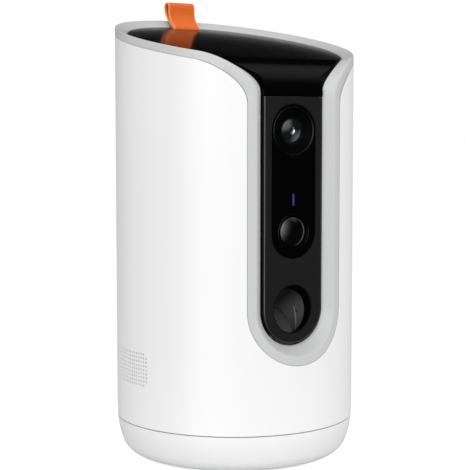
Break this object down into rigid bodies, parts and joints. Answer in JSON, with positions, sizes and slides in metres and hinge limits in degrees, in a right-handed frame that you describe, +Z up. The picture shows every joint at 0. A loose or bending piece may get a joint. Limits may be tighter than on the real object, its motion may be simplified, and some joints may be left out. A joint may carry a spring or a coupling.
{
  "type": "pet camera",
  "caption": "Treat-tossing pet camera: round white body with slanted black lid, orange pull tab, grey rim and a front tongue with camera, sensor and treat outlet.",
  "frame": {"origin": "centre of the foot ring on the ground", "axes": "+Z up, the camera looks along -Y, +X is to the right of someone facing the camera"},
  "size_m": [0.12, 0.12, 0.2323],
  "materials": {
    "shell_white": "fine satin white",
    "trim_grey": "satin light grey",
    "gloss_black": "polished black",
    "matt_black": "fine matt black",
    "dark_grey": "moulded dark grey",
    "tab_orange": "soft orange tab",
    "lens_glass": "coated glass",
    "hopper_grey": "food-safe grey",
    "soft_grey": "soft rubber",
    "steel": "plain steel",
    "brass": "plain brass",
    "gear_ivory": "self-lubricating plastic",
    "board_green": "solder mask",
    "light_violet": "lit violet light pipe"
  },
  "bodies": {
    "housing": {"outer_shell": "shell_white", "base_cup": "shell_white", "foot_ring": "soft_grey", "base_screws": "steel", "rim_trim": "trim_grey", "chassis": "dark_grey", "deck_screws": "steel", "front_panel": "matt_black", "panel_screws": "steel", "sensor_window": "gloss_black", "lens_ring": "gloss_black", "camera_lens": "lens_glass", "lens_barrel": "matt_black", "lens_holder": "matt_black", "camera_board": "board_green", "infrared_leds": "gloss_black", "status_light": "light_violet", "pir_ring": "gloss_black", "pir_lens": "gloss_black", "pir_sensor": "steel", "sensor_board": "board_green", "treat_hopper": "hopper_grey", "hopper_screws": "steel", "feed_housing": "dark_grey", "feed_screws": "steel", "feed_motor": "steel", "drive_plate": "dark_grey", "plate_screws": "steel", "launch_tube": "dark_grey", "throw_motor": "steel", "throw_spring": "steel", "main_board": "board_green", "board_chips": "matt_black", "board_screws": "steel", "inlet_board": "board_green", "power_socket": "steel", "reset_switch": "matt_black", "speaker_cup": "matt_black", "speaker": "matt_black"},
    "lid": {"lid_panel": "gloss_black", "lid_liner": "matt_black", "lid_seal": "soft_grey", "pull_tab": "tab_orange"},
    "feed": {"feed_rotor": "hopper_grey", "feed_shaft": "steel", "feed_gear": "gear_ivory"},
    "feed_drive": {"feed_pinion": "brass"},
    "paddle": {"throw_paddle": "dark_grey", "paddle_shaft": "steel", "throw_sector": "gear_ivory"},
    "throw_drive": {"throw_pinion": "brass"},
    "button": {"reset_button": "shell_white"}
  },
  "joints": [
    {"name": "lid_lift", "type": "slide", "parent": "housing", "child": "lid", "axis": [0, 0, 1], "range_m": [0, 0.06]},
    {"name": "feed_spin", "type": "hinge", "parent": "housing", "child": "feed", "pos_m": [0, -0.004, 0.11], "axis": [0, 0, 1], "continuous": true},
    {"name": "feed_drive_spin", "type": "hinge", "parent": "housing", "child": "feed_drive", "pos_m": [0, 0.0089, 0.09], "axis": [0, 0, 1], "continuous": true},
    {"name": "paddle_swing", "type": "hinge", "parent": "housing", "child": "paddle", "pos_m": [0, -0.0435, 0.0555], "axis": [1, 0, 0], "range_deg": [0, 45]},
    {"name": "throw_drive_spin", "type": "hinge", "parent": "housing", "child": "throw_drive", "pos_m": [0.0172, -0.0174, 0.0555], "axis": [1, 0, 0], "range_deg": [-150, 0]},
    {"name": "reset_press", "type": "slide", "parent": "housing", "child": "button", "axis": [0, -1, 0], "range_m": [0, 0.0007], "stiffness_N_per_m": 800}
  ],
  "couplings": [
    {"joint": "feed_drive_spin", "follows": "feed_spin", "ratio": -1.6667},
    {"joint": "throw_drive_spin", "follows": "paddle_swing", "ratio": -3.3333}
  ]
}
